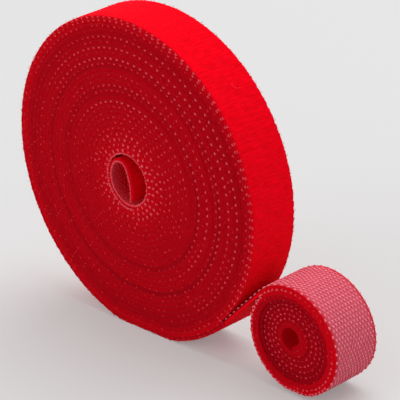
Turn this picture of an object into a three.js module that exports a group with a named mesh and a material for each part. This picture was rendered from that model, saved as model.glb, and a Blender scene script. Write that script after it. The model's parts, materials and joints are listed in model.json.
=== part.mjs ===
import * as THREE from 'three';

// Hook and loop tape roll. One strip of tape, a brushed loop cloth bonded back to back with a hook
// cloth, is wound loop side out on the supply roll, crosses a short free stretch, and is wound the
// other way, hook side out, on the end roll. It has no core, so its inner end curls up in the bore.
// The rolls' axes lie along Y. The origin is on the resting flat, under the supply roll's axis.
// Lengths are in millimetres and angles in degrees, counter-clockwise from +X seen from -Y.

// The tape
const TAPE_WIDTH = 15;
const LOOP_PLY = 0.44;
const HOOK_PLY = 0.44;
const BOND_LINE = 0.1;
// Mean air between one turn and the next
const WINDING_GAP = 0.58;
// Air across a line where the strip bends
const BEND_GAP = 0.4;

// The supply roll
const SUPPLY_TURNS = 24;
const BORE_RADIUS = 7.45;
// The bore lies off the roll's axis, so the turns are closer on one side
const BORE_SHIFT_X = -3.2;
const BORE_SHIFT_Z = -0.6;
// How far the roll has settled on the surface that it stands on
const SUPPLY_FLAT_DEPTH = 1;
// Where the tape leaves the roll, below the level of its axis
const LEAVE_ANGLE = 45.5;

// The inner curl: a round crown, then a straight flank down to the tape's end
const CROWN_RADIUS = 3;
const CROWN_FROM = 178;
const CROWN_TO = 20;
const CURL_TIP_GAP = 1;

// The end roll
const END_TURNS = 7.7;
const END_BORE_RADIUS = 3.6;
const END_FLAT_DEPTH = 0.5;

// Facets in each turn, outside its resting flat
const SUPPLY_STEPS_TO_LEAVE = 2;
const SUPPLY_STEPS_ONWARD = 15;
const END_STEPS_TO_FLAT = 8;
const END_STEPS_ONWARD = 5;
const CURL_ARC_STEPS = 6;
const CROWN_STEPS = 8;

const TAPE = LOOP_PLY + BOND_LINE + HOOK_PLY;
const PITCH = TAPE + WINDING_GAP;
const DOWN = 270;
const TURN = 360;

// Offsets of each face from the middle of the bond line, positive on the loop side
const LOOP_FACES = [BOND_LINE / 2, BOND_LINE / 2 + LOOP_PLY];
const HOOK_FACES = [-BOND_LINE / 2 - HOOK_PLY, -BOND_LINE / 2];
const BACK_OF_HOOKS = HOOK_FACES[0];
const FACE_OF_LOOPS = LOOP_FACES[1];

const radians = THREE.MathUtils.degToRad;
const degrees = THREE.MathUtils.radToDeg;

function direction(angle) {
  return new THREE.Vector2(Math.cos(radians(angle)), Math.sin(radians(angle)));
}

// A flat of the given depth spans this half angle of a circle
function flatHalfAngle(depth, radius) {
  return degrees(Math.acos(1 - depth / radius));
}

// Evenly spaced values after the first, up to and with the last
function evenly(first, last, steps) {
  const values = [];
  for (let step = 1; step <= steps; step += 1) {
    values.push(first + ((last - first) * step) / steps);
  }
  return values;
}

// A station is a point on the bond line and the way from there to the loop side
function station(point, loopSide) {
  return { point, loopSide };
}

function along(stationAt, offset) {
  return stationAt.point.clone().addScaledVector(stationAt.loopSide, offset);
}

// Supply roll: radii are of the bond line, measured from the shifting centre of each turn
const supplyFirstRadius = BORE_RADIUS - BACK_OF_HOOKS;
const supplyLastRadius = supplyFirstRadius + SUPPLY_TURNS * PITCH;
const supplyRestRadius = supplyLastRadius + FACE_OF_LOOPS;
const supplyFlat = flatHalfAngle(SUPPLY_FLAT_DEPTH, supplyRestRadius);
const supplyAxis = new THREE.Vector2(0, supplyRestRadius - SUPPLY_FLAT_DEPTH);
const boreCentre = supplyAxis.clone().add(new THREE.Vector2(BORE_SHIFT_X, BORE_SHIFT_Z));
const supplyStart = DOWN + supplyFlat;
const supplyRound = TURN - 2 * supplyFlat;

// Turns wound so far, at an angle past the flat of the given turn: the flat itself adds none
function supplyWound(turn, angle) {
  return Math.min(turn + Math.min(angle / supplyRound, 1), SUPPLY_TURNS);
}

function supplyStation(turn, angle) {
  const wound = supplyWound(turn, angle);
  const centre = boreCentre.clone().lerp(supplyAxis, wound / SUPPLY_TURNS);
  const outward = direction(supplyStart + angle);
  const radius = supplyFirstRadius + wound * PITCH;
  return station(centre.addScaledVector(outward, radius), outward);
}

const leaveAngle = TURN - LEAVE_ANGLE;
const leavePast = leaveAngle - supplyStart;

function supplyStations() {
  const stations = [];
  const toLeave = evenly(0, leavePast, SUPPLY_STEPS_TO_LEAVE);
  const angles = [0, ...toLeave, ...evenly(leavePast, supplyRound, SUPPLY_STEPS_ONWARD)];
  for (let turn = 0; turn < SUPPLY_TURNS; turn += 1) {
    for (const angle of angles) stations.push(supplyStation(turn, angle));
  }
  const halfBendAtBore = degrees(BEND_GAP / 2 / supplyFirstRadius);
  const halfBendAtEdge = degrees(BEND_GAP / 2 / supplyLastRadius);
  stations[0] = supplyStation(0, halfBendAtBore);
  stations.push(supplyStation(SUPPLY_TURNS, 0));
  for (const angle of evenly(0, leavePast - halfBendAtEdge, SUPPLY_STEPS_TO_LEAVE)) {
    stations.push(supplyStation(SUPPLY_TURNS, angle));
  }
  return stations;
}

// Inner curl: from the tape's end down in the bore, up the flank, over the crown and along the wall
function curlStations() {
  const inward = PITCH / supplyRound;
  const wallRadius = (angle) => supplyFirstRadius - (supplyStart - angle) * inward;
  const crownSeat = wallRadius(CROWN_FROM) - CROWN_RADIUS;
  const crownCentre = boreCentre.clone().addScaledVector(direction(CROWN_FROM), crownSeat);
  const crownEnd = crownCentre.clone().addScaledVector(direction(CROWN_TO), CROWN_RADIUS);
  const flankWay = direction(CROWN_TO - TURN / 4);
  const tipReach = BORE_RADIUS - CURL_TIP_GAP;
  const fromBore = crownEnd.clone().sub(boreCentre);
  const half = fromBore.dot(flankWay);
  const flankLength = -half + Math.sqrt(half * half - fromBore.lengthSq() + tipReach * tipReach);
  const tip = crownEnd.clone().addScaledVector(flankWay, flankLength);
  const stations = [station(tip, direction(CROWN_TO))];
  for (const angle of [CROWN_TO, ...evenly(CROWN_TO, CROWN_FROM, CROWN_STEPS)]) {
    const outward = direction(angle);
    stations.push(station(crownCentre.clone().addScaledVector(outward, CROWN_RADIUS), outward));
  }
  const halfBend = degrees(BEND_GAP / 2 / supplyFirstRadius);
  for (const angle of evenly(CROWN_FROM, supplyStart - halfBend, CURL_ARC_STEPS)) {
    const outward = direction(angle);
    stations.push(station(boreCentre.clone().addScaledVector(outward, wallRadius(angle)), outward));
  }
  return stations;
}

// End roll: the tape arrives opposite to where it left the supply roll, and winds clockwise inward
const arriveAngle = leaveAngle - TURN / 2;
const endFirstRadius = END_BORE_RADIUS + FACE_OF_LOOPS + END_TURNS * PITCH;
const endFlat = flatHalfAngle(END_FLAT_DEPTH, endFirstRadius - BACK_OF_HOOKS);
const endRound = TURN - 2 * endFlat;
const endFlatFrom = arriveAngle - DOWN + TURN - endFlat;
const endFlatTo = endFlatFrom + 2 * endFlat;

// Turns wound so far, at an angle past the arrival: the flat adds none
function endWound(turn, angle) {
  const round = angle <= endFlatFrom ? angle : Math.max(angle - 2 * endFlat, endFlatFrom);
  return turn + round / endRound;
}

function endRadius(turn, angle) {
  return endFirstRadius - endWound(turn, angle) * PITCH;
}

const leavePoint = supplyStation(SUPPLY_TURNS, leavePast).point;
const stretchWay = direction(leaveAngle + TURN / 4);
const endRestRadius = endRadius(0, endFlatFrom) - BACK_OF_HOOKS;
const endAxisHeight = endRestRadius * Math.cos(radians(endFlat));
const arriveOutward = direction(arriveAngle);
const stretchRise = endAxisHeight + arriveOutward.y * endFirstRadius - leavePoint.y;
const stretchLength = stretchRise / stretchWay.y;
const arrivePoint = leavePoint.clone().addScaledVector(stretchWay, stretchLength);
const endAxis = arrivePoint.clone().addScaledVector(arriveOutward, -endFirstRadius);

function endStation(turn, angle) {
  const outward = direction(arriveAngle - angle);
  const point = endAxis.clone().addScaledVector(outward, endRadius(turn, angle));
  return station(point, outward.negate());
}

function endStations() {
  const toFlat = evenly(0, endFlatFrom, END_STEPS_TO_FLAT);
  const angles = [...toFlat, endFlatTo, ...evenly(endFlatTo, TURN, END_STEPS_ONWARD)];
  const halfBend = degrees(BEND_GAP / 2 / endFirstRadius);
  const stations = [endStation(0, halfBend)];
  for (let turn = 0; turn < END_TURNS; turn += 1) {
    for (const angle of angles) {
      if (endWound(turn, angle) <= END_TURNS) stations.push(endStation(turn, angle));
    }
  }
  return stations;
}

// Free stretch: straight from roll to roll, its loop side below
function stretchStations() {
  const loopSide = direction(leaveAngle);
  const from = leavePoint.clone().addScaledVector(stretchWay, BEND_GAP / 2);
  const to = arrivePoint.clone().addScaledVector(stretchWay, -BEND_GAP / 2);
  return [station(from, loopSide), station(to, loopSide)];
}

// A ply is the strip between two offsets from the bond line, as wide as the tape
function plyGeometry(stations, faces) {
  const positions = [];
  const corners = 4;
  for (const at of stations) {
    for (const offset of faces) {
      const { x, y: height } = along(at, offset);
      positions.push(x, -TAPE_WIDTH / 2, height, x, TAPE_WIDTH / 2, height);
    }
  }
  const triangles = [];
  const quad = (a, b, c, d) => triangles.push(a, b, c, a, c, d);
  const last = (stations.length - 1) * corners;
  for (let here = 0; here < last; here += corners) {
    const next = here + corners;
    quad(here, next, next + 1, here + 1);
    quad(here + 2, here + 3, next + 3, next + 2);
    quad(here, here + 2, next + 2, next);
    quad(here + 1, next + 1, next + 3, here + 3);
  }
  quad(0, 1, 3, 2);
  quad(last, last + 2, last + 3, last + 1);
  const geometry = new THREE.BufferGeometry();
  geometry.setAttribute('position', new THREE.Float32BufferAttribute(positions, 3));
  geometry.setIndex(triangles);
  geometry.computeVertexNormals();
  return geometry;
}

// Least air from the loop side of the strip to the hook side of a later turn, taken on points
function leastGap(stations) {
  const loops = stations.map((at) => along(at, FACE_OF_LOOPS));
  const hooks = stations.map((at) => along(at, BACK_OF_HOOKS));
  const nearest = new THREE.Vector3();
  const edge = new THREE.Line3();
  const inSpace = (point) => new THREE.Vector3(point.x, 0, point.y);
  const apart = 4;
  let least = Infinity;
  loops.forEach((point, index) => {
    for (let other = 1; other < hooks.length; other += 1) {
      if (Math.abs(other - index) < apart) continue;
      edge.set(inSpace(hooks[other - 1]), inSpace(hooks[other]));
      edge.closestPointToPoint(inSpace(point), true, nearest);
      least = Math.min(least, nearest.distanceTo(inSpace(point)));
    }
  });
  return least;
}

const LOOP_PILE = { color: 0xd0101f, roughness: 0.95, metalness: 0 };
const HOOK_CLOTH = { color: 0xc9566a, roughness: 0.6, metalness: 0 };

function addStrip(group, name, stations) {
  const plies = [
    [`${name}_loop_ply`, LOOP_FACES, LOOP_PILE],
    [`${name}_hook_ply`, HOOK_FACES, HOOK_CLOTH],
  ];
  for (const [plyName, faces, finish] of plies) {
    const material = new THREE.MeshStandardMaterial(finish);
    const ply = new THREE.Mesh(plyGeometry(stations, faces), material);
    ply.name = plyName;
    group.add(ply);
  }
}

const strips = {
  supply_roll: supplyStations(),
  inner_curl: curlStations(),
  free_stretch: stretchStations(),
  end_roll: endStations(),
};

const tapeRoll = new THREE.Group();
for (const [name, stations] of Object.entries(strips)) addStrip(tapeRoll, name, stations);

for (const name of ['supply_roll', 'end_roll']) {
  console.log(`${name}: least gap from turn to turn ${leastGap(strips[name]).toFixed(3)} mm`);
}

export default tapeRoll;
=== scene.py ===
"""Hook and loop tape roll, wound from one strip of back-to-back tape.

Each length of tape is modelled flat: x runs along the tape, y to its hook side and z across it, with
the bond line of the two cloths at y = 0. It is then bent along one winding path, which starts in the
tear-drop curl in the bore, goes round the supply roll with the loops outside, along the free stretch,
and round the end roll with the hooks outside.
"""

import json
import math
from dataclasses import dataclass

import bmesh
import bpy
import numpy as np
from mathutils import Matrix, Vector, noise


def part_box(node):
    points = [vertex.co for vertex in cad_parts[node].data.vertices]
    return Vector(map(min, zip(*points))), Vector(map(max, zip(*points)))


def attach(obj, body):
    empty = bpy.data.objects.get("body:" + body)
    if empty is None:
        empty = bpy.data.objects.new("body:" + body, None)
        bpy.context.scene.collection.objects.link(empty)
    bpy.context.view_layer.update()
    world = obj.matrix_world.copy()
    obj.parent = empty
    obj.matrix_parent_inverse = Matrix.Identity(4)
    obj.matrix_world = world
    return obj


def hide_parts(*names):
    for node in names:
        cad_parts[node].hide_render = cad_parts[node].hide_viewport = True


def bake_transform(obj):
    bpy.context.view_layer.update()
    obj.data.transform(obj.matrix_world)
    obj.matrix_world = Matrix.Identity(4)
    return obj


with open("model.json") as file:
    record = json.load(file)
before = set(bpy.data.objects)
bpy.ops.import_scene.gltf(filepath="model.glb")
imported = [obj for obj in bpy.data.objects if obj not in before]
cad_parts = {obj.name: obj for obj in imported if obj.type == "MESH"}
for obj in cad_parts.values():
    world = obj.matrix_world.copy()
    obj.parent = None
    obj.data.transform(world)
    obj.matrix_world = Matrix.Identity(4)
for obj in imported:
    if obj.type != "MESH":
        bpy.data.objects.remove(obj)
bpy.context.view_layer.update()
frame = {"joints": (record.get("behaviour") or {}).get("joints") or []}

bl_info = {
    "name": "Hook and Loop Tape Roll",
    "version": (1, 0, 0),
    "blender": (4, 5, 0),
    "location": "View3D > Sidebar > Tape Roll",
    "description": "Winds a roll of back-to-back hook and loop tape round its packed frame",
    "category": "Add Mesh",
}

MM = 0.001
SIDES = (("near", 1), ("far", -1))


def joint_point(name):
    """Where a joint's axis crosses the plane of the rolls, as x and height."""
    joint = next(joint for joint in frame["joints"] if joint["name"] == name)
    return np.array(joint["pos_m"])[[0, 2]]


# The lines across the tape where one body turns into the next
JOIN = joint_point("inner_end_flex")
LEAVE = joint_point("peel_line")
ARRIVE = joint_point("roll_up_line")
WAY = (ARRIVE - LEAVE) / np.linalg.norm(ARRIVE - LEAVE)
LOOP_SIDE = np.array([WAY[1], -WAY[0]])
TAPE_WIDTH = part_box("free_stretch_hook_ply")[1].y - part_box("free_stretch_hook_ply")[0].y

# Points of the path in a turn and in the free stretch, and how softly a settled turn bends
TURN_POINTS = 240
STRETCH_POINTS = 40
SETTLED_BEND = 0.4 * MM

# Turns of the supply roll, counted from its bore, whose hooks show on its sides, and turns whose
# pile covers them: the turn, how much, and over how many turns
SHOWN_SUPPLY_TURNS = (
    (10.5, 1, 0.18), (13.3, 0.6, 0.25), (15.15, 0.65, 0.2), (18.3, 1, 0.3), (20.4, 0.7, 0.25),
    (22.2, 0.85, 0.22), (25.3, 1, 0.3),
)
SMOOTH_SUPPLY_TURNS = ((11.7, 0.9, 0.6), (16.3, 0.9, 0.5), (23.6, 0.3, 0.4))
# By turn, how much the hooks show on all turns, and how much more they do near the bore
FAINT_SHOW = ((0, 0.35), (17.4, 0.35), (18.4, 0.44), (26.2, 0.44))
BORE_SHOW = ((0, 0.7), (1, 0.65), (2.5, 0.45), (5, 0.2), (8, 0))
# They show most on the upper right, where the light comes from, and there they are painted paler,
# a painted highlight: the angle of that side, what is left of them on the other side, and how the
# one passes into the other
LIT_SIDE = math.radians(50)
LIT_LEAST, LIT_MIDDLE, LIT_SWING = 0.08, 0.5, 0.7
# For turns of the end roll, counted from its outside: how far they stand proud, and how much their
# hooks show. Its outer turns form a raised band, smooth but for two short rows of hooks, and those
# inside lie in a hollow
END_ROLL_PROUD = (
    (0, 0), (0.4, 1.4), (1.3, 1.6), (2, 0.2), (3, -3.5), (4.2, -6.5), (5.5, -7.5), (6.6, -7),
    (7.4, -5), (9, -4.6),
)
END_ROLL_SHOW = (
    (0, 0), (0.99, 0), (1, 0.7), (1.1, 0.7), (1.18, 0), (1.36, 0), (1.4, 0.7), (1.6, 0.7), (1.68, 0),
    (2.9, 0), (3.3, 0.6), (7, 0.6), (7.4, 0), (9, 0),
)
END_BAND_TURNS = 1.8
# Painted shade on the edges of those turns, those of the supply roll and of the curl in its bore,
# and all others: darker in the end roll's hollow and in lines beside proud turns of the supply
# roll, and lighter on the end roll's raised band and in the curl, painted light
END_ROLL_PAINTED_SHADE = (
    (0, 0.25), (1.3, 0.35), (2, 0.65), (2.6, 0.92), (3.4, 0.92), (4.5, 0.82), (7, 0.8), (7.4, 0.6),
    (9, 0.6),
)
SUPPLY_PAINTED_SHADE = (
    (0, 0.3), (1, 0.38), (2, 0.45), (5, 0.56), (9, 0.6), (11.2, 0.61), (12.1, 0.78), (13.1, 0.6),
    (16, 0.58), (17, 0.84), (17.7, 0.6), (20, 0.62), (21.5, 0.7), (23, 0.7), (24, 0.57), (25, 0.38),
    (25.5, 0.27), (25.65, 0.4), (25.85, 0.7), (26.2, 0.8),
)
CURL_PAINTED_SHADE = 0.2
PLAIN_PAINTED_SHADE = 0.65

# How far from its middle a strip's edge begins, and the part that frays, as shares of its width
EDGE_FROM = 0.4925
FRAY_FROM = 0.45
# How far and how finely pile frays, and the breadth and length of its ribs and size of its tufts
FRAY, FRAY_GRAIN = 0.22 * MM, 1.1 * MM
RIB, RIB_LENGTH, TUFT = 0.6 * MM, 4 * MM, 1.8 * MM
# Places in the noise that lie far enough apart to differ: the two edges, and the tufts and ribs
EDGES_APART = 7
TUFTS_APART = 9
SMOOTH_ANGLE = math.radians(60)

# How many columns from the middle the last hook of a full row stands
HALF_ROW = 6.5
PILE_LOOP_SPAN, PILE_LOOP_HEIGHT = 0.42 * MM, 0.32 * MM
TREAD_LOOPS = 7400
# How far apart loose loops are along the edges of the supply roll's pile and of the end roll's
SUPPLY_FUZZ, END_FUZZ = 0.6 * MM, 0.8 * MM
# Length of the end roll's second turn whose hooks can show past the outermost one
COVERED_LENGTH = 64 * MM

# Sockets of a mix of colours: its factor, its two colours and its result. Then the period of a wave
# texture of scale 1
FACTOR, FIRST, SECOND, MIXED = 0, 6, 7, 2
WAVE_PERIOD = 2 * math.pi / 20


@dataclass
class EdgeRow:
    """A row of hooks along a side of wound tape: the seed of its draws, how many rows of the tape its
    hooks are apart, how far they are raised from the cloth, their length and height, how much they
    show if not as the winding says, and how much painted glint makes them paler."""

    seed: int
    pitch: float = 2.0
    raised: float = 0.0
    shape: tuple = (0.8 * MM, 0.6 * MM)
    show: float = None
    painted_glint: float = 0.4


SUPPLY_ROWS = {
    "lip": EdgeRow(14, pitch=0.7, raised=-0.4 * MM, show=0.5, painted_glint=0.9),
    "bore": EdgeRow(12, pitch=1.9, shape=(0.75 * MM, 1.0 * MM), painted_glint=0.65),
    "hooks": EdgeRow(13),
    "rim": EdgeRow(13, raised=-0.9 * MM),
}
CURL_ROWS = {"rim": EdgeRow(32, pitch=0.7, raised=-0.4 * MM, show=0.5, painted_glint=0.9)}
END_ROWS = {
    "hooks": EdgeRow(52, pitch=1.4, raised=-0.5 * MM),
    "rim": EdgeRow(53, pitch=1.2, raised=-0.65 * MM, show=0.9, painted_glint=1.0),
    "tuck": EdgeRow(54, pitch=1.4, raised=-0.2 * MM, painted_glint=0.8),
}


def linear(code):
    """An sRGB hex colour as linear red, green and blue."""
    shares = [int(code[place:place + 2], 16) / 255 for place in (0, 2, 4)]
    return [s / 12.92 if s <= 0.04045 else ((s + 0.055) / 1.055) ** 2.4 for s in shares]


def length_property(name, description, metres):
    """A length that a user can set."""
    return bpy.props.FloatProperty(
        name=name, description=description, default=metres, precision=5, unit="LENGTH"
    )


def place_property(name, description, metres):
    """A point or a shift that a user can set."""
    return bpy.props.FloatVectorProperty(
        name=name, description=description, default=metres, size=len(metres), precision=5,
        unit="LENGTH",
    )


def angle_property(name, description, degrees):
    """An angle that a user can set."""
    return bpy.props.FloatProperty(
        name=name, description=description, default=math.radians(degrees), subtype="ANGLE"
    )


def colour_property(name, description, code):
    """A colour that a user can set."""
    return bpy.props.FloatVectorProperty(
        name=name, description=description, default=(*linear(code), 1), size=4, min=0, max=1,
        subtype="COLOR",
    )


class TapeSizes(bpy.types.PropertyGroup):
    """Sizes of the tape and of its winding"""

    width: length_property("Tape width", "Width of the tape", TAPE_WIDTH)
    tread_pile: length_property("Tread pile", "Loop cloth on the outside of the roll", 0.72 * MM)
    hook_cloth: length_property("Hook cloth", "Ground cloth that the hooks stand on", 0.32 * MM)
    hook_height: length_property("Hook height", "Height of a hook over its cloth", 0.28 * MM)
    hook_span: length_property("Hook span", "Width of a hook's arch along the tape", 0.50 * MM)
    hook_width: length_property("Hook width", "Width of a hook across the tape", 0.52 * MM)
    filament: length_property("Filament", "Thickness of a hook", 0.30 * MM)
    row_pitch: length_property("Row pitch", "From one row of hooks to the next", 1.15 * MM)
    column_pitch: length_property("Column pitch", "From one hook to the next in a row", 1.08 * MM)
    nap: length_property("Nap", "Height of the ruffles on free pile", 0.09 * MM)
    fibre: length_property("Fibre", "Diameter of a pile fibre, drawn coarse", 0.10 * MM)
    supply_turns: bpy.props.IntProperty(
        name="Supply turns", description="Whole turns of the supply roll", default=26, min=1
    )
    bore_shift: place_property(
        "Bore shift", "From the supply roll's axis to its bore's, along and up", (-2.4 * MM, -1.2 * MM)
    )
    crown_radius: length_property("Crown radius", "Tight bend at the top of the curl", 3.0 * MM)
    flank_radius: length_property("Flank radius", "Slow bend of the curl's flank", 16 * MM)
    flank_from: angle_property("Flank start", "Where the tape's inner end lies", -10.5)
    crown_from: angle_property("Crown start", "Where the flank turns into the crown", 22)
    crown_to: angle_property("Crown end", "Where the crown meets the bore's wall", 147)
    end_turns: bpy.props.FloatProperty(
        name="End turns", description="Turns of the end roll", default=8.6, min=1
    )
    end_radius: length_property("End radius", "Bond line of the end roll's outside", 15.4 * MM)
    end_bore: length_property("End bore", "Radius of the hole in the end roll", 2.3 * MM)
    end_shift: place_property(
        "End shift", "From the end roll's axis to its hole's, along and up", (-0.9 * MM, 0.4 * MM)
    )
    proud: length_property("Proud turns", "How far a proud turn stands out", 0.12 * MM)
    overhang: length_property("Overhang", "How far edge hooks reach past the cloth", 0.16 * MM)
    spread: bpy.props.FloatProperty(
        name="Spread", description="Share by which the end roll has sagged wider", default=0.015
    )
    sink: bpy.props.FloatProperty(
        name="Sink", description="Share by which the end roll has sagged lower", default=0.012
    )
    drift: length_property("Drift", "How far the end roll lies to the near side", 0.7 * MM)


class TapeColours(bpy.types.PropertyGroup):
    """Colours of the tape"""

    pile: colour_property("Pile", "Loop pile where it is lit", "FA0018")
    pile_deep: colour_property("Pile depth", "Loop pile between its fibres", "E00012")
    pile_sheen: colour_property("Pile sheen", "Loop pile that light grazes", "FF5468")
    # The palest fibres' pink is painted highlight, for loop tips catching the light
    fibre: colour_property("Pile fibre", "Palest loose fibres", "FF2440")
    # The tape edge's dark red is partly its own, fibres seen end on, and partly painted shade: the
    # sides of the rolls, away from the key light, are painted darker
    edge: colour_property("Tape edge", "Fibres that are seen end on", "8C000E")
    # The hook cloth's pink is painted highlight over a red ground, for light glinting on and through
    # its clear hooks
    cloth: colour_property("Hook cloth", "Threads of the hook cloth", "E66E80")
    cloth_deep: colour_property("Hook cloth depth", "Between those threads", "D2566A")
    # The brightest hooks' pale pink is painted highlight, light glinting on and through clear nylon;
    # the dullest hooks' red is their dye
    hook: colour_property("Hooks", "Brightest hooks", "F88292")
    hook_deep: colour_property("Darker hooks", "Dullest hooks", "EC1428")
    floor: colour_property("Floor", "Pale surface that the rolls stand on", "D6D6D6")
    sweep: colour_property("Sweep", "Glow of that surface to the camera", "DEDEDE")


class TapeStage(bpy.types.PropertyGroup):
    """Where the camera stands"""

    azimuth: angle_property("Azimuth", "Round the rolls, from straight in front", 46.943)
    elevation: angle_property("Elevation", "Above the horizon", 24.024)
    roll: angle_property("Roll", "Tilt of the camera about its own line of sight", -3.396)
    distance: length_property("Distance", "From the camera to its target", 646.6 * MM)
    target: place_property(
        "Target", "Point in the middle of the picture", (25.60 * MM, -7.79 * MM, 46.14 * MM)
    )
    lens: bpy.props.FloatProperty(name="Lens", description="Focal length", default=225, unit="CAMERA")


@dataclass
class Winding:
    """The bond line in the plane of the rolls, how far along the tape each of its points lies, how
    far the tape stands proud there, how much its hooks show, how much painted shade its edge has,
    and how far it is to the next turn. Then the places along the tape where its lengths begin."""

    points: np.ndarray
    reach: np.ndarray
    proud: np.ndarray
    show: np.ndarray
    painted_shade: np.ndarray
    pitch: np.ndarray
    join: float
    first_turn: float
    fifth_turn: float
    last_turn: float
    leave: float
    arrive: float
    end_turn: float
    end_band: float

    @property
    def end(self):
        return self.reach[-1]


def directions(angles):
    """Unit vectors at these angles, in the plane of the rolls."""
    return np.stack([np.cos(angles), np.sin(angles)], axis=-1)


def settled(points, lowest, floor):
    """Lifts the lowest part of each turn to its floor, with a soft bend at either end."""
    heights = points[:, 1]
    near = np.clip(1 - np.abs(heights - floor) / SETTLED_BEND, 0, 1)
    lifted = np.maximum(heights, floor) + near * near * SETTLED_BEND / 4
    points[:, 1] = np.where(floor > lowest, lifted, heights)
    return points


def spiral(angles, shares, centres, radii, rest):
    """Turns whose centre and radius go from first to last, settled on the surface under them."""
    centre = centres[0] + shares[:, None] * (centres[1] - centres[0])
    radius = radii[0] + shares * (radii[1] - radii[0])
    points = centre + radius[:, None] * directions(angles)
    down = 2 * math.pi * np.round(angles / (2 * math.pi) + 0.25) - math.pi / 2
    rate = (shares[-1] - shares[0]) / (angles[-1] - angles[0])
    share_below = np.clip(shares + (down - angles) * rate, 0, 1)
    centre_below = centres[0][1] + share_below * (centres[1][1] - centres[0][1])
    lowest = centre_below - radii[0] - share_below * (radii[1] - radii[0])
    outward = share_below if radii[1] > radii[0] else 1 - share_below
    sag = max(rest - lowest[np.argmax(outward)], 0)
    return settled(points, lowest, lowest + sag * outward**2)


def bumps(turns, table):
    """A smooth rise at each turn of the table, to its height and over its spread."""
    return sum(high * np.exp(-(((turns - turn) / wide) ** 2)) for turn, high, wide in table)


def looked_up(turns, table):
    """The values of a table at these turns, even between its own."""
    return np.interp(turns, *zip(*table))


def distances(points):
    """How far along a line each of its points lies."""
    return np.concatenate([[0], np.cumsum(np.linalg.norm(np.diff(points, axis=0), axis=1))])


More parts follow.
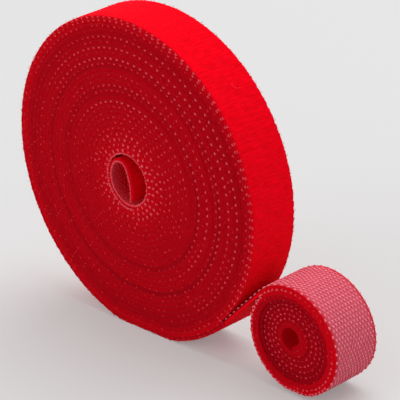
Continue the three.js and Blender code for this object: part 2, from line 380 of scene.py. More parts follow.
def winding(sizes):
    """Works out the path of the whole tape from the frame's joints and the sizes."""
    leave_radius = LEAVE[0] / LOOP_SIDE[0]
    axis = LEAVE - leave_radius * LOOP_SIDE
    bore = axis + np.array(sizes.bore_shift)
    first_radius = np.linalg.norm(JOIN - bore)
    first_angle = math.atan2(*(JOIN - bore)[::-1])
    last_angle = math.atan2(*LOOP_SIDE[::-1]) + 2 * math.pi * sizes.supply_turns
    wall_angle = sizes.crown_to - 2 * math.pi

    curl_angles = np.linspace(wall_angle, first_angle, TURN_POINTS // 3)
    supply_angles = np.linspace(first_angle, last_angle, TURN_POINTS * sizes.supply_turns)[1:]
    angles = np.concatenate([curl_angles, supply_angles])
    shares = (angles - first_angle) / (last_angle - first_angle)
    supply = spiral(angles, shares, (bore, axis), (first_radius, leave_radius), sizes.tread_pile)

    crown_centre = supply[0] - sizes.crown_radius * directions(wall_angle)
    flank_shift = (sizes.crown_radius - sizes.flank_radius) * directions(sizes.crown_from)
    crown_angles = np.linspace(sizes.crown_from, sizes.crown_to, TURN_POINTS // 4)[:-1]
    flank_angles = np.linspace(sizes.flank_from, sizes.crown_from, TURN_POINTS // 6)[:-1]
    crown = crown_centre + sizes.crown_radius * directions(crown_angles)
    flank = crown_centre + flank_shift + sizes.flank_radius * directions(flank_angles)

    end_axis = ARRIVE + sizes.end_radius * LOOP_SIDE
    end_first = math.atan2(*-LOOP_SIDE[::-1])
    end_turns = np.linspace(0, sizes.end_turns, round(TURN_POINTS * sizes.end_turns))
    end_angles = end_first - 2 * math.pi * end_turns
    end_rest = sizes.hook_cloth + sizes.hook_height
    end_pitch = (sizes.end_radius - sizes.end_bore + sizes.hook_cloth) / (sizes.end_turns + 1)
    end_radii = (sizes.end_radius, sizes.end_radius - sizes.end_turns * end_pitch)
    end_shares = end_turns / sizes.end_turns
    end_shift = np.array(sizes.end_shift)
    end_centres = (end_axis, end_axis + end_shift)
    end_roll = spiral(end_angles, end_shares, end_centres, end_radii, end_rest)

    stretch = LEAVE + np.linspace(0, 1, STRETCH_POINTS)[1:-1, None] * (ARRIVE - LEAVE)
    points = np.concatenate([flank, crown, supply, stretch, end_roll])
    reach = distances(points)
    wall_at = len(flank) + len(crown)
    join_at = wall_at + len(curl_angles) - 1
    leave_at = wall_at + len(angles) - 1
    arrive_at = leave_at + len(stretch) + 1
    # The end roll is loose, so it has sagged a little from where its joint puts it
    sagged = np.clip((reach - reach[leave_at]) / (reach[arrive_at] - reach[leave_at]), 0, 1)
    points[:, 0] += sizes.spread * sagged * (points[:, 0] - LEAVE[0])
    points[:, 1] *= 1 - sizes.sink * sagged
    reach = distances(points)

    growth = directions(angles) @ (axis - bore) + leave_radius - first_radius
    end_growth = end_pitch - directions(end_angles) @ end_shift / sizes.end_turns
    sideways = np.cos(end_angles) ** 2
    pitch = np.full(len(points), end_pitch)
    pitch[wall_at:leave_at + 1] = growth / sizes.supply_turns
    pitch[arrive_at:] = end_growth * (1 + sizes.spread * sideways - sizes.sink * (1 - sideways))
    turns = (supply_angles - first_angle) / (2 * math.pi)
    towards_light = np.clip(LIT_MIDDLE + LIT_SWING * np.cos(supply_angles - LIT_SIDE), 0, 1)
    lit = LIT_LEAST + (1 - LIT_LEAST) * towards_light
    shown = bumps(turns, SHOWN_SUPPLY_TURNS) - bumps(turns, SMOOTH_SUPPLY_TURNS)
    faint = looked_up(turns, FAINT_SHOW)
    on_supply = slice(join_at + 1, leave_at + 1)
    proud = np.zeros(len(points))
    proud[on_supply] = lit * shown
    proud[arrive_at:] = looked_up(end_turns, END_ROLL_PROUD)
    show = np.ones(len(points))
    show[on_supply] = lit * np.clip(faint + shown, 0, 1) + looked_up(turns, BORE_SHOW)
    show[arrive_at:] = looked_up(end_turns, END_ROLL_SHOW)
    # How much painted shade each edge has, turn by turn
    painted_shade = np.full(len(points), PLAIN_PAINTED_SHADE)
    painted_shade[:join_at + 1] = CURL_PAINTED_SHADE
    painted_shade[on_supply] = looked_up(turns, SUPPLY_PAINTED_SHADE)
    painted_shade[arrive_at:] = looked_up(end_turns, END_ROLL_PAINTED_SHADE)
    return Winding(
        points=points,
        reach=reach,
        proud=proud * sizes.proud + sizes.drift * sagged,
        show=np.clip(show, 0, 1),
        painted_shade=painted_shade,
        pitch=pitch,
        join=reach[join_at],
        first_turn=reach[join_at + TURN_POINTS],
        fifth_turn=reach[join_at + 5 * TURN_POINTS],
        last_turn=reach[leave_at - TURN_POINTS],
        leave=reach[leave_at],
        arrive=reach[arrive_at],
        end_turn=reach[arrive_at + TURN_POINTS],
        end_band=reach[arrive_at + round(END_BAND_TURNS * TURN_POINTS)],
    )


def deselect_all():
    """Leaves no object selected, so that an operator acts on the new piece alone."""
    bpy.ops.object.select_all(action="DESELECT")


def pick(piece):
    """Makes one piece the selected and active one."""
    deselect_all()
    piece.select_set(True)
    bpy.context.view_layer.objects.active = piece


def apply_modifier(piece, kind, **settings):
    """Adds a modifier with these settings and applies it."""
    pick(piece)
    modifier = piece.modifiers.new(kind.title(), kind)
    for name, value in settings.items():
        setattr(modifier, name, value)
    bpy.ops.object.modifier_apply(modifier=modifier.name)


def coordinates(piece):
    """All vertices of a piece, a row each."""
    values = np.empty(len(piece.data.vertices) * 3)
    piece.data.vertices.foreach_get("co", values)
    return values.reshape(-1, 3)


def set_coordinates(piece, values):
    """Moves all vertices of a piece."""
    piece.data.vertices.foreach_set("co", values.ravel())
    piece.data.update()


def set_attribute(piece, name, values):
    """Gives each vertex of a piece a number, for its material to read."""
    attribute = piece.data.attributes.new(name, "FLOAT", "POINT")
    attribute.data.foreach_set("value", values.astype(np.float32))


def lay_strip(name, span, faces, tape, step, columns, rounding):
    """A flat strip of cloth from one place along the tape to another, between two heights, with a UV
    map in metres along and across the tape."""
    start, stop = span
    low, high = faces
    deselect_all()
    bpy.ops.mesh.primitive_grid_add(
        x_subdivisions=max(2, round((stop - start) / step)),
        y_subdivisions=columns,
        size=1,
        location=((start + stop) / 2, low, 0),
        rotation=(math.pi / 2, 0, 0),
    )
    strip = bpy.context.object
    strip.name = name
    strip.scale = (stop - start, tape.sizes.width, 1)
    bpy.ops.object.transform_apply()
    apply_modifier(strip, "SOLIDIFY", thickness=high - low, offset=-1)
    apply_modifier(strip, "BEVEL", width=rounding * (high - low), segments=3, limit_method="ANGLE")
    layer = strip.data.uv_layers.active or strip.data.uv_layers.new(name="UVMap")
    corners = np.empty(len(strip.data.loops), dtype=int)
    strip.data.loops.foreach_get("vertex_index", corners)
    layer.data.foreach_set("uv", coordinates(strip)[corners][:, [0, 2]].ravel())
    return strip


def mark_edges(strip, tape, at_edge, on_face=0.0):
    """Marks where a flat strip has the red of fibres seen end on, and how much painted shade that red
    has.
    """
    places = coordinates(strip)
    on_edge = np.abs(places[:, 2]) > EDGE_FROM * tape.sizes.width
    set_attribute(strip, "edge", np.where(on_edge, at_edge, on_face))
    set_attribute(strip, "painted_shade", np.interp(places[:, 0], tape.path.reach, tape.path.painted_shade))


def fray_edges(strip, width):
    """Makes both edges of a flat strip uneven, as brushed fibres are."""
    places = coordinates(strip)
    for place in places:
        if abs(place[2]) > FRAY_FROM * width:
            side = math.copysign(1, place[2])
            spot = (place[0] / FRAY_GRAIN, place[1] / FRAY_GRAIN * 2, side * EDGES_APART)
            place[2] += side * FRAY * noise.noise(Vector(spot))
    set_coordinates(strip, places)


def raise_nap(strip, face, amount):
    """Ruffles the pile face of a flat strip into low uneven ribs across it, and tufts."""
    places = coordinates(strip)
    for place in places:
        if place[1] < face:
            ribs = noise.noise(Vector((place[0] / RIB, 0, place[2] / RIB_LENGTH)))
            tufts = noise.noise(Vector((place[0] / TUFT, TUFTS_APART, place[2] / TUFT)))
            place[1] -= amount * (ribs + tufts)
    set_coordinates(strip, places)


def fill_turns(strip, tape):
    """Presses the pile of a flat strip up to the hook cloth of the turn outside it."""
    places = coordinates(strip)
    room = np.interp(places[:, 0], tape.path.reach, tape.path.pitch) - tape.sizes.hook_cloth
    places[:, 1] *= room / tape.sizes.tread_pile
    set_coordinates(strip, places)


def wind(piece, path):
    """Bends a flat piece along the winding, and stands the rolls on their edge."""
    places = coordinates(piece)
    places[:, 2] += np.interp(places[:, 0], path.reach, path.proud)
    set_coordinates(piece, places)
    curve = bpy.data.curves.new("winding_path", "CURVE")
    curve.dimensions = "2D"
    spline = curve.splines.new("POLY")
    spline.points.add(len(path.points) - 1)
    knots = np.ones((len(path.points), 4))
    knots[:, :2] = path.points
    knots[:, 2] = 0
    spline.points.foreach_set("co", knots.ravel())
    line = bpy.data.objects.new("winding_path", curve)
    bpy.context.scene.collection.objects.link(line)
    apply_modifier(piece, "CURVE", object=line, deform_axis="POS_X")
    bpy.data.curves.remove(curve)
    piece.rotation_euler.x = math.pi / 2
    bpy.ops.object.transform_apply()
    places = coordinates(piece)
    places[:, 2] = np.maximum(places[:, 2], 0)
    set_coordinates(piece, places)


def finished(piece, material):
    """Gives a piece its material."""
    piece.data.materials.append(material)
    return piece


def model_arch(name, span, thickness, width, height, bends, sides):
    """A strand bent into an arch along the tape: one leg in the cloth, the other cut short."""
    leg = 0.06 * MM
    deselect_all()
    bpy.ops.mesh.primitive_torus_add(
        major_radius=span / 2, minor_radius=thickness / 2, major_segments=2 * bends,
        minor_segments=sides,
    )
    arch = bpy.context.object
    arch.name = name
    bpy.ops.object.mode_set(mode="EDIT")
    bpy.ops.mesh.select_all(action="SELECT")
    bpy.ops.mesh.bisect(plane_co=(0, 0, 0), plane_no=(0, 1, 0), use_fill=True, clear_inner=True)
    mesh = bmesh.from_edit_mesh(arch.data)
    for face in mesh.faces:
        face.select_set(face.normal.y < -0.99 and face.calc_center_median().x < 0)
    bmesh.update_edit_mesh(arch.data)
    bpy.ops.mesh.extrude_region_move(TRANSFORM_OT_translate={"value": (0, -leg, 0)})
    bpy.ops.mesh.select_all(action="SELECT")
    bpy.ops.mesh.normals_make_consistent(inside=False)
    bpy.ops.transform.translate(value=(0, leg, 0))
    flatter = height / (leg + (span + thickness) / 2)
    bpy.ops.transform.resize(value=(1, flatter, width / thickness), center_override=(0, 0, 0))
    bpy.ops.object.mode_set(mode="OBJECT")
    bpy.ops.object.shade_smooth()
    return arch


def turned(headings, tips):
    """Rotations that turn each strand about its own height, then tip it about the tape's length."""
    turns = np.zeros((len(headings), 3, 3))
    spin_cos, spin_sin = np.cos(headings), np.sin(headings)
    tip_cos, tip_sin = np.cos(tips), np.sin(tips)
    turns[:, 0] = np.stack([spin_cos, np.zeros_like(tips), spin_sin], axis=1)
    turns[:, 1] = np.stack([tip_sin * spin_sin, tip_cos, -tip_sin * spin_cos], axis=1)
    turns[:, 2] = np.stack([-tip_cos * spin_sin, tip_sin, tip_cos * spin_cos], axis=1)
    return turns


def strew(strand, spots, turns, scales, shades, path):
    """Copies one strand to all spots, each with its own turn, size and shade, and winds them."""
    count = len(spots)
    one = len(strand.data.vertices)
    apply_modifier(
        strand, "ARRAY", count=count, use_relative_offset=False, use_constant_offset=False
    )
    copies = coordinates(strand).reshape(count, one, 3) * scales[:, None, :]
    placed = np.einsum("cij,cvj->cvi", turns, copies) + spots[:, None, :]
    set_coordinates(strand, placed.reshape(-1, 3))
    set_attribute(strand, "shade", np.repeat(shades, one))
    wind(strand, path)


def hook_spots(span, sizes):
    """Places of the hooks on a length of tape, in staggered rows: along it and across it."""
    start, stop = span
    rows = np.arange(math.ceil(start / sizes.row_pitch), math.floor(stop / sizes.row_pitch) + 1)
    spots = []
    for row in rows:
        last = HALF_ROW - row % 2 / 2
        places = np.arange(-last, last + 0.5)
        spots += [(row * sizes.row_pitch, place * sizes.column_pitch) for place in places]
    return np.array(spots)


def set_hooks(name, spots, scales, shades, tape, draws):
    """Sets a hook at each of these places on the tape, leaning a little either way."""
    twist, lean = 0.2, 0.12
    sizes = tape.sizes
    hook = model_arch(
        name, sizes.hook_span, sizes.filament, sizes.hook_width, sizes.hook_height, bends=5, sides=6
    )
    count = len(spots)
    headings = math.pi * draws.integers(0, 2, count) + draws.normal(0, twist, count)
    turns = turned(headings, draws.normal(0, lean, count))
    strew(hook, spots, turns, scales, shades, tape.path)
    return finished(hook, tape.filament)


def make_hooks(name, span, tape, seed, painted_glint_range=(0.75, 1), height=1.0):
    """Hooks all over a length of tape, those along its edges standing out a little. Their tones are
    drawn within a range painted for light: pale pink painted highlight, palest along the edges, or
    red painted shade in the bore.
    """
    sizes = tape.sizes
    draws = np.random.default_rng(seed)
    along, across = hook_spots(span, sizes).T
    count = len(along)
    at_edge = np.abs(across) > (HALF_ROW - 0.1) * sizes.column_pitch
    edge = (sizes.width - sizes.hook_width + sizes.overhang) / 2
    across[at_edge] = np.sign(across[at_edge]) * edge
    along += draws.normal(0, 0.05 * MM, count)
    spots = np.stack([along, np.full(count, sizes.hook_cloth), across], axis=1)
    shades = np.where(at_edge, painted_glint_range[1], draws.uniform(*painted_glint_range, count))
    scales = np.repeat(draws.uniform(0.92, 1.08, (count, 1)), 3, axis=1)
    scales[:, 1] *= height
    return set_hooks(name, spots, scales, shades, tape, draws)


def make_edge_hooks(name, span, tape, side, row):
    """The outermost hooks of wound tape, some rows apart, which show on one side of a roll."""
    patch = 15 * MM
    sizes = tape.sizes
    draws = np.random.default_rng(row.seed)
    along = np.arange(*span, row.pitch * sizes.row_pitch)
    count = len(along)
    said = np.interp(along, tape.path.reach, tape.path.show)
    shown = said if row.show is None else np.full(count, row.show)
    knots = np.arange(span[0], span[1] + patch, patch)
    patches = np.interp(along, knots, draws.uniform(0.4, 1, len(knots)))
    # Hooks that show more are wider, reach further out and are painted paler, a painted highlight
    # for the light caught by hooks that stand out
    wide = (0.4 + 0.2 * shown) * MM
    reach = sizes.overhang * (1.3 * shown - 0.2) + draws.normal(0, 0.03 * MM, count)
    shades = patches * (0.05 + row.painted_glint * shown)
    length, height = row.shape
    long = np.full(count, length / (sizes.hook_span + sizes.filament))
    high = np.full(count, height / sizes.hook_height)
    scales = np.stack([long, high, wide / sizes.hook_width], axis=1)
    across = side * (sizes.width / 2 + reach - wide / 2)
    along = along + draws.normal(0, 0.08 * MM, count)
    spots = np.stack([along, np.full(count, sizes.hook_cloth + row.raised), across], axis=1)
    return set_hooks(name, spots, scales, shades, tape, draws)


def make_edge_rows(prefix, rows, spans, tape):
    """The rows of edge hooks on both sides of a length of tape, each along its span."""
    return [
        make_edge_hooks(f"{prefix}_{edge}_{row}", spans[row], tape, side, rows[row])
        for edge, side in SIDES
        for row in rows
    ]


def make_pile_loops(name, spots, tips, shades, tape, seed):
    """Single loops of pile fibre that stand out of the cloth."""
    fibre = tape.sizes.fibre
    draws = np.random.default_rng(seed)
    loop = model_arch(name, PILE_LOOP_SPAN, fibre, fibre, PILE_LOOP_HEIGHT, bends=3, sides=3)
    count = len(spots)
    turns = turned(draws.uniform(0, 2 * math.pi, count), tips + draws.normal(0, 0.45, count))
    scales = np.repeat(draws.uniform(0.5, 1.0, (count, 1)), 3, axis=1)
    strew(loop, spots, turns, scales, draws.uniform(*shades, count), tape.path)
    return finished(loop, tape.fibre)


def make_edge_fuzz(prefix, span, tape, pitch, seed):
    """Loose loops along both edges of the pile, with two seeds for each edge."""
    pieces = []
    for edge, side in SIDES:
        draws = np.random.default_rng(seed)
        count = round((span[1] - span[0]) / pitch)
        along = np.linspace(*span, count) + draws.normal(0, pitch / 3, count)
        height = -draws.uniform(0.15, 1.4, count) * tape.sizes.tread_pile
        across = np.full(count, side * (tape.sizes.width / 2 - 0.1 * MM))
        spots = np.stack([np.clip(along, *span), height, across], axis=1)
        tips = np.full(count, side * math.pi / 2)
        # Dull tones keep these loops near the edge's red, with its painted shade
        pieces.append(make_pile_loops(f"{prefix}_{edge}_fuzz", spots, tips, (0, 0.5), tape, seed + 1))
        seed += 2
    return pieces


def wind_strip(strip, path):
    """Winds a strip of cloth and smooths its faces, but not its corners."""
    wind(strip, path)
    pick(strip)
    bpy.ops.object.shade_smooth_by_angle(angle=SMOOTH_ANGLE)


def make_loop_cloth(name, span, tape, step, columns, at_edge=0.0, pressed=False, nap=1.0):
    """The loop cloth of a length of tape: free pile, or pile pressed into the turn outside it."""
    sizes = tape.sizes
    rounding = 0.12 if pressed else 0.7
    strip = lay_strip(name, span, (-sizes.tread_pile, 0), tape, step, columns, rounding)
    mark_edges(strip, tape, at_edge)
    if pressed:
        fill_turns(strip, tape)
    else:
        raise_nap(strip, -0.6 * sizes.tread_pile, nap * sizes.nap)
    fray_edges(strip, sizes.width)
    wind_strip(strip, tape.path)
    return finished(strip, tape.pile)


def make_hook_cloth(name, span, tape, step, at_edge=1.0, on_face=0.0, columns=4):
    """The hook cloth of a length of tape, without its hooks. Its face can be as red as its edge."""
    strip = lay_strip(name, span, (0, tape.sizes.hook_cloth), tape, step, columns, rounding=0.15)
    mark_edges(strip, tape, at_edge, on_face)
    wind_strip(strip, tape.path)
    return finished(strip, tape.cloth)


def add_node(tree, kind, settings=None, links=None):
    """Adds a node, sets its fields and sockets, and links sockets to outputs of other nodes."""
    node = tree.nodes.new("ShaderNode" + kind)
    for name, value in (settings or {}).items():
        if isinstance(name, int) or name in node.inputs:
            node.inputs[name].default_value = value
        else:
            setattr(node, name, value)
    for name, source in (links or {}).items():
        tree.links.new(source, node.inputs[name])
    return node


def make_material(name, surface, *groups):
    """The material of this name, with the surface that a function builds when it is first used."""
    material = bpy.data.materials.get(name)
    if material is None:
        material = bpy.data.materials.new(name)
        material.use_nodes = True
        tree = material.node_tree
        tree.nodes.clear()
        add_node(tree, "OutputMaterial", links={"Surface": surface(tree, *groups)})
    return material


def cloth_surface(tree, colours, face, height, bump, settings):
    """Cloth with this face and relief, and where a strip is marked, the red of fibres seen end on,
    mixed with painted shade.
    """
    # The edge's red is darkened by the painted shade given for its turn
    painted_shade = add_node(tree, "Attribute", {"attribute_name": "painted_shade"})
    red = add_node(
        tree, "Mix", {"data_type": "RGBA", FIRST: colours.pile_deep, SECOND: colours.edge},
        {FACTOR: painted_shade.outputs["Fac"]},
    )
    edge = add_node(tree, "Attribute", {"attribute_name": "edge"})
    mixed = add_node(
        tree, "Mix", {"data_type": "RGBA"},
        {FACTOR: edge.outputs["Fac"], FIRST: face.outputs[MIXED], SECOND: red.outputs[MIXED]},
    )
    relief = add_node(tree, "Bump", bump, {"Height": height.outputs[0]})
    shader = add_node(
        tree, "BsdfPrincipled", settings,
        {"Base Color": mixed.outputs[MIXED], "Normal": relief.outputs["Normal"]},
    )
    return shader.outputs["BSDF"]


def strand_surface(tree, dull, bright, settings):
    """Strands whose colour goes from dull to bright, by the shade of each; the bright end is painted
    highlight, for strands that catch the light.
    """
    shade = add_node(tree, "Attribute", {"attribute_name": "shade"})
    colour = add_node(
        tree, "Mix", {"data_type": "RGBA", FIRST: dull, SECOND: bright},
        {FACTOR: shade.outputs["Fac"]},
    )
    shader = add_node(tree, "BsdfPrincipled", settings, {"Base Color": colour.outputs[MIXED]})
    return shader.outputs["BSDF"]


def loop_pile(tree, colours, sizes):
    """Brushed nylon loop pile: teased yarn that scatters light, so it is matt and deep, paler where
    light grazes the fibres, mottled, and faintly ribbed by the ground weave under it."""
    along = add_node(tree, "TexCoord").outputs["UV"]
    mottle = add_node(tree, "TexNoise", {"Scale": 1 / (2.2 * MM), "Detail": 3.0}, {"Vector": along})
    # Real fibres are finer than a tenth of a millimetre: drawn coarser, so that they show
    combed = add_node(tree, "Mapping", {"Scale": (1, 0.15, 1)}, {"Vector": along})
    fibres = add_node(
        tree, "TexNoise", {"Scale": 1 / (0.5 * MM), "Detail": 2.0},
        {"Vector": combed.outputs["Vector"]},
    )
    depth = add_node(
        tree, "Math", {"operation": "MULTIPLY_ADD", 1: 0.5},
        {0: mottle.outputs["Fac"], 2: fibres.outputs["Fac"]},
    )
    tone = add_node(tree, "MapRange", {"From Min": 0.5, "From Max": 0.9}, {"Value": depth.outputs[0]})
    face = add_node(
        tree, "Mix", {"data_type": "RGBA", FIRST: colours.pile_deep, SECOND: colours.pile},
        {FACTOR: tone.outputs["Result"]},
    )
    ribs = add_node(
        tree, "TexWave", {"Scale": WAVE_PERIOD / sizes.row_pitch, "Distortion": 1.5},
        {"Vector": along},
    )
    relief = add_node(
        tree, "Math", {"operation": "MULTIPLY_ADD", 1: 0.3},
        {0: ribs.outputs["Fac"], 2: fibres.outputs["Fac"]},
    )
    bump = {"Strength": 0.5, "Distance": 0.08 * MM}
    settings = {
        "Roughness": 0.95,
        "Specular IOR Level": 0.02,
        "Sheen Weight": 0.12,
        "Sheen Roughness": 0.5,
        "Sheen Tint": colours.pile_sheen,
    }
    return cloth_surface(tree, colours, face, relief, bump, settings)


def hook_ground(tree, colours, sizes):
    """Woven nylon ground of the hooks: tight plain weave with a slight gloss on its threads and
    darker in the gaps between them. Its pink is painted highlight over a red ground, for light
    glinting on and through the clear hooks."""
    along = add_node(tree, "TexCoord").outputs["UV"]
    scale = WAVE_PERIOD / (sizes.row_pitch / 2)
    warp = add_node(tree, "TexWave", {"Scale": scale}, {"Vector": along})
    weft = add_node(tree, "TexWave", {"bands_direction": "Y", "Scale": scale}, {"Vector": along})
    weave = add_node(
        tree, "Math", {"operation": "MULTIPLY"}, {0: warp.outputs["Fac"], 1: weft.outputs["Fac"]}
    )
    threads = add_node(
        tree, "Mix", {"data_type": "RGBA", FIRST: colours.cloth_deep, SECOND: colours.cloth},
        {FACTOR: weave.outputs[0]},
    )
    bump = {"Strength": 0.8, "Distance": 0.12 * MM}
    settings = {"Roughness": 0.7, "Specular IOR Level": 0.05}
    return cloth_surface(tree, colours, threads, weave, bump, settings)


def pile_fibre(tree, colours):
    """Nylon pile fibre: the same dyed yarn seen strand by strand, so each loop has its own tone. The
    pale loops on the tread are painted highlight; the darker ones on the edges share the edge's
    painted shade.
    """
    settings = {"Roughness": 0.8, "Specular IOR Level": 0.05}
    return strand_surface(tree, colours.edge, colours.fibre, settings)


def hook_filament(tree, colours):
    """Nylon monofilament of the hooks: clear nylon with a little dye and small soft highlights. Its
    pale pink is painted highlight, for light glinting on and through the nylon; its red is the dye."""
    settings = {"Roughness": 0.5, "IOR": 1.53, "Specular IOR Level": 0.1}
    return strand_surface(tree, colours.hook_deep, colours.hook, settings)


def seamless_paper(tree, colours):
    """Matt seamless paper: pale and even, and it only takes the soft shadows."""
    paper = add_node(
        tree, "BsdfPrincipled",
        {"Base Color": colours.floor, "Roughness": 0.9, "Specular IOR Level": 0.1},
    )
    # To the camera the paper glows a little, as on a lit sweep, which keeps its shadows faint
    glow = add_node(tree, "Emission", {"Color": colours.sweep, "Strength": 1.0})
    path = add_node(tree, "LightPath")
    share = add_node(
        tree, "Math", {"operation": "MULTIPLY", 1: 0.3}, {0: path.outputs["Is Camera Ray"]}
    )
    sweep = add_node(
        tree, "MixShader",
        links={0: share.outputs[0], 1: paper.outputs["BSDF"], 2: glow.outputs["Emission"]},
    )
    return sweep.outputs["Shader"]


class Tape:
    """What every winding operator needs: the tape's sizes, its path and its materials."""

    def __init__(self, scene):
        colours = scene.tape_colours
        sizes = scene.tape_sizes
        self.sizes = sizes
        self.path = winding(sizes)
        self.pile = make_material("brushed_nylon_loop_pile", loop_pile, colours, sizes)
        self.fibre = make_material("dyed_nylon_pile_fibre", pile_fibre, colours)
        self.cloth = make_material("woven_nylon_hook_ground", hook_ground, colours, sizes)
        self.filament = make_material("clear_nylon_monofilament", hook_filament, colours)


class TAPE_OT_supply_cloth(bpy.types.Operator):
    """Wind the two cloths of the supply roll"""

    bl_idname = "tape_roll.supply_cloth"
    bl_label = "Supply Roll Cloth"

    def execute(self, context):
        tape = Tape(context.scene)
        path = tape.path
        inner = make_loop_cloth(
            "supply_roll_loop_cloth", (path.join, path.last_turn), tape, step=1.0 * MM, columns=2,
            at_edge=1.0, pressed=True,
        )
        tread = make_loop_cloth(
            "supply_roll_tread", (path.last_turn, path.leave), tape, step=0.25 * MM, columns=22,
            at_edge=0.75,
        )
        # The hook cloth's face takes the edge's red, painted shade where it shows, on the bore's wall
        hooks = make_hook_cloth(
            "supply_roll_hook_cloth", (path.join, path.leave), tape, step=1.2 * MM, on_face=1.0
        )
        for piece in (inner, tread, hooks):
            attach(piece, "supply_roll")
        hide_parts("supply_roll_loop_ply")
        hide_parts("supply_roll_loop_ply")
        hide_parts("supply_roll_hook_ply")
        return {"FINISHED"}


class TAPE_OT_supply_hooks(bpy.types.Operator):
    """Set the hooks that show on the sides and in the bore of the supply roll"""

    bl_idname = "tape_roll.supply_hooks"
    bl_label = "Supply Roll Hooks"

    def execute(self, context):
        tape = Tape(context.scene)
        path = tape.path
        spans = {
            "lip": (path.join, path.first_turn),
            "bore": (path.first_turn, path.fifth_turn),
            "hooks": (path.fifth_turn, path.leave),
            "rim": (path.last_turn, path.leave),
        }
        # The bore's hooks are kept dull red, painted shade for the dark bore
        bore_hooks = make_hooks("supply_roll_bore_hooks", spans["lip"], tape, 11, painted_glint_range=(0, 0.2))
        for piece in (bore_hooks, *make_edge_rows("supply_roll", SUPPLY_ROWS, spans, tape)):
            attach(piece, "supply_roll")
        return {"FINISHED"}


class TAPE_OT_supply_pile(bpy.types.Operator):
    """Raise the loose pile on the outside and the edges of the supply roll"""

    bl_idname = "tape_roll.supply_pile"
    bl_label = "Supply Roll Pile"

    def execute(self, context):
        tape = Tape(context.scene)
        path, pile = tape.path, tape.sizes.tread_pile
        draws = np.random.default_rng(21)
        along = draws.uniform(path.last_turn, path.leave, TREAD_LOOPS)
        across = draws.uniform(-0.5, 0.5, TREAD_LOOPS) * tape.sizes.width
        spots = np.stack([along, np.full(TREAD_LOOPS, -pile + 0.15 * MM), across], axis=1)
        tips = np.full(TREAD_LOOPS, math.pi)
        # Tread loops get pale tones, painted highlight on the lit tread
        loops = make_pile_loops("supply_roll_tread_loops", spots, tips, (0.8, 1), tape, 22)
        fuzz = make_edge_fuzz("supply_roll", (path.join, path.leave), tape, SUPPLY_FUZZ, 23)
        # One fibre that has been pulled out lies on the tread, a quarter of the way round it
        span, thickness, height = 2.2 * MM, 0.13 * MM, 2.4 * MM
        stray = model_arch(
            "supply_roll_stray_fibre", span, thickness, thickness, height, bends=8, sides=4
        )
        place = path.last_turn + 0.2515 * (path.leave - path.last_turn)
        foot = np.array([[place, -pile, -2.2 * MM]])
        lean = turned(np.array([0.3]), np.array([math.pi - 1.4]))
        strew(stray, foot, lean, np.ones((1, 3)), [1], path)
        for piece in (loops, *fuzz, finished(stray, tape.fibre)):
            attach(piece, "supply_roll")
        return {"FINISHED"}


class TAPE_OT_inner_curl(bpy.types.Operator):
    """Curl the inner end of the tape in the bore"""

    bl_idname = "tape_roll.inner_curl"
    bl_label = "Inner Curl"

    def execute(self, context):
        tape = Tape(context.scene)
        join = tape.path.join
        bend, step = 5 * MM, 0.4 * MM
        root = join - bend
        for name, span in (("inner_curl", (0, root)), ("inner_curl_root", (root, join))):
            loops = make_loop_cloth(
                f"{name}_loop_cloth", span, tape, step, columns=15, at_edge=1.0, nap=0.3
            )
            # In the bore the hook cloth's face takes the edge's red and the hooks stay dull: painted
            # shade, for the unlit inside of the curl
            cloth = make_hook_cloth(f"{name}_hook_cloth", span, tape, step, at_edge=0.6, on_face=0.95)
            hooks = make_hooks(f"{name}_hooks", span, tape, 31, painted_glint_range=(0, 0.05), height=0.6)
            rims = make_edge_rows(name, CURL_ROWS, {"rim": span}, tape)
            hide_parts("inner_curl_loop_ply")
            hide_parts("inner_curl_hook_ply")
            for piece in (loops, cloth, hooks, *rims):
                if span[1] == join:
                    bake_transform(piece)
                else:
                    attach(piece, "inner_curl")
        return {"FINISHED"}


class TAPE_OT_free_stretch(bpy.types.Operator):
    """Lay the tape from one roll to the other"""

    bl_idname = "tape_roll.free_stretch"
    bl_label = "Free Stretch"

    def execute(self, context):
        tape = Tape(context.scene)
        leave, arrive = tape.path.leave, tape.path.arrive
        middle = (leave + arrive) / 2
        bend = 6 * MM
        halves = (
            ("lower", (leave, middle), ("supply_roll", "free_stretch"), (leave, leave + bend)),
            ("upper", (middle, arrive), ("free_stretch", "end_roll"), (arrive - bend, arrive)),
        )
        for half, span, bodies, turn in halves:
            name = f"free_stretch_{half}"
            loops = make_loop_cloth(f"{name}_loop_cloth", span, tape, step=0.25 * MM, columns=22)
            cloth = make_hook_cloth(f"{name}_hook_cloth", span, tape, step=0.4 * MM, columns=12)
            hooks = make_hooks(f"{name}_hooks", span, tape, 41)
            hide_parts("free_stretch_loop_ply")
            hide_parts("free_stretch_hook_ply")
            for piece in (loops, cloth, hooks):
                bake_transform(piece)
        return {"FINISHED"}


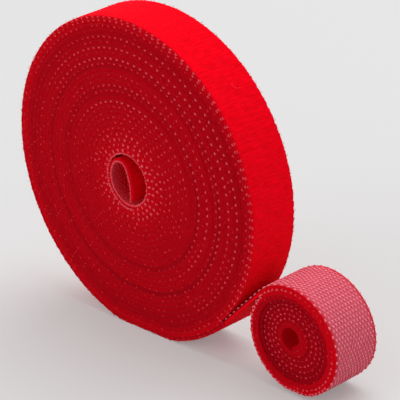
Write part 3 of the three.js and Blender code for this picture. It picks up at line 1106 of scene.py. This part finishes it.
class TAPE_OT_end_roll(bpy.types.Operator):
    """Wind the free end of the tape with its hooks outside"""

    bl_idname = "tape_roll.end_roll"
    bl_label = "End Roll"

    def execute(self, context):
        tape = Tape(context.scene)
        path = tape.path
        whole = (path.arrive, path.end)
        outside = (path.arrive, path.end_turn)
        inside = (path.end_turn, path.end)
        # The hooks of the hollow show on its sides. Those on the second half of the outside, and of
        # the turn under it, show past its edge
        spans = {
            "hooks": (path.end_band, path.end),
            "rim": ((path.arrive + path.end_turn) / 2, path.end_turn),
            "tuck": (path.end_turn, path.end_turn + COVERED_LENGTH),
        }
        loops = make_loop_cloth(
            "end_roll_loop_cloth", whole, tape, step=0.8 * MM, columns=2, at_edge=1.0, pressed=True
        )
        outer = make_hook_cloth("end_roll_hook_cloth", outside, tape, step=0.6 * MM, columns=12)
        inner = make_hook_cloth("end_roll_inner_hook_cloth", inside, tape, step=0.8 * MM, on_face=1.0)
        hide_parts("end_roll_loop_ply")
        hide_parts("end_roll_hook_ply")
        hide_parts("end_roll_hook_ply")
        hooks = make_hooks("end_roll_hooks", outside, tape, 51)
        rows = make_edge_rows("end_roll", END_ROWS, spans, tape)
        fuzz = make_edge_fuzz("end_roll", whole, tape, END_FUZZ, 56)
        for piece in (loops, outer, inner, hooks, *rows, *fuzz):
            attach(piece, "end_roll")
        return {"FINISHED"}


def add_softbox(name, place, aim, size, power):
    """A square area light at a place, facing a point."""
    data = bpy.data.lights.new(name, "AREA")
    data.size = size
    data.energy = power
    lamp = bpy.data.objects.new(name, data)
    lamp.location = place
    lamp.rotation_euler = (Vector(aim) - Vector(place)).to_track_quat("-Z", "Y").to_euler()
    bpy.context.scene.collection.objects.link(lamp)


class TAPE_OT_stage(bpy.types.Operator):
    """Set the pale floor, the soft light and the camera"""

    bl_idname = "tape_roll.stage"
    bl_label = "Stage"

    def execute(self, context):
        scene = context.scene
        stage = scene.tape_stage
        deselect_all()
        # The floor lies a hair under the rolls, so that they share no plane
        bpy.ops.mesh.primitive_plane_add(size=6, location=(0, 0, -0.02 * MM))
        floor = context.object
        floor.name = "floor"
        paper = make_material("matt_seamless_paper", seamless_paper, scene.tape_colours)
        floor.data.materials.append(paper)

        aim = (0.02, 0, 0.04)
        add_softbox("key_softbox", place=(0.0, 0.4, 1.05), aim=aim, size=1.2, power=9.9)
        add_softbox("fill_softbox", place=(-0.5, -1.1, 0.5), aim=aim, size=0.8, power=4)
        world = bpy.data.worlds.new("studio")
        world.use_nodes = True
        background = world.node_tree.nodes["Background"]
        background.inputs["Color"].default_value = (1, 1, 1, 1)
        background.inputs["Strength"].default_value = 0.57
        scene.world = world
        scene.view_settings.view_transform = "Standard"

        cos_up, sin_up = math.cos(stage.elevation), math.sin(stage.elevation)
        back = Vector((math.sin(stage.azimuth) * cos_up, -math.cos(stage.azimuth) * cos_up, sin_up))
        turn = (-back).to_track_quat("-Z", "Y").to_matrix() @ Matrix.Rotation(stage.roll, 3, "Z")
        camera = bpy.data.objects.new("camera", bpy.data.cameras.new("camera"))
        camera.data.lens = stage.lens
        camera.data.clip_start = 0.01
        camera.matrix_world = turn.to_4x4()
        camera.location = Vector(stage.target) + back * stage.distance
        scene.collection.objects.link(camera)
        scene.camera = camera
        return {"FINISHED"}


OPERATORS = (
    TAPE_OT_stage,
    TAPE_OT_supply_cloth,
    TAPE_OT_supply_hooks,
    TAPE_OT_supply_pile,
    TAPE_OT_inner_curl,
    TAPE_OT_free_stretch,
    TAPE_OT_end_roll,
)
GROUPS = {"tape_sizes": TapeSizes, "tape_colours": TapeColours, "tape_stage": TapeStage}


class TAPE_PT_panel(bpy.types.Panel):
    """Sizes, colours and pieces of the tape roll"""

    bl_label = "Tape Roll"
    bl_idname = "TAPE_PT_panel"
    bl_space_type = "VIEW_3D"
    bl_region_type = "UI"
    bl_category = "Tape Roll"

    def draw(self, context):
        for group_name, kind in GROUPS.items():
            box = self.layout.box()
            for name in kind.__annotations__:
                box.prop(getattr(context.scene, group_name), name)
        for operator in OPERATORS:
            self.layout.operator(operator.bl_idname)


def register():
    for name, group in GROUPS.items():
        bpy.utils.register_class(group)
        setattr(bpy.types.Scene, name, bpy.props.PointerProperty(type=group))
    for kind in (*OPERATORS, TAPE_PT_panel):
        bpy.utils.register_class(kind)


def unregister():
    for kind in reversed((*OPERATORS, TAPE_PT_panel)):
        bpy.utils.unregister_class(kind)
    for name, group in GROUPS.items():
        delattr(bpy.types.Scene, name)
        bpy.utils.unregister_class(group)


def main():
    register()
    for operator in OPERATORS:
        family, action = operator.bl_idname.split(".")
        getattr(getattr(bpy.ops, family), action)()


if __name__ == "__main__":
    main()
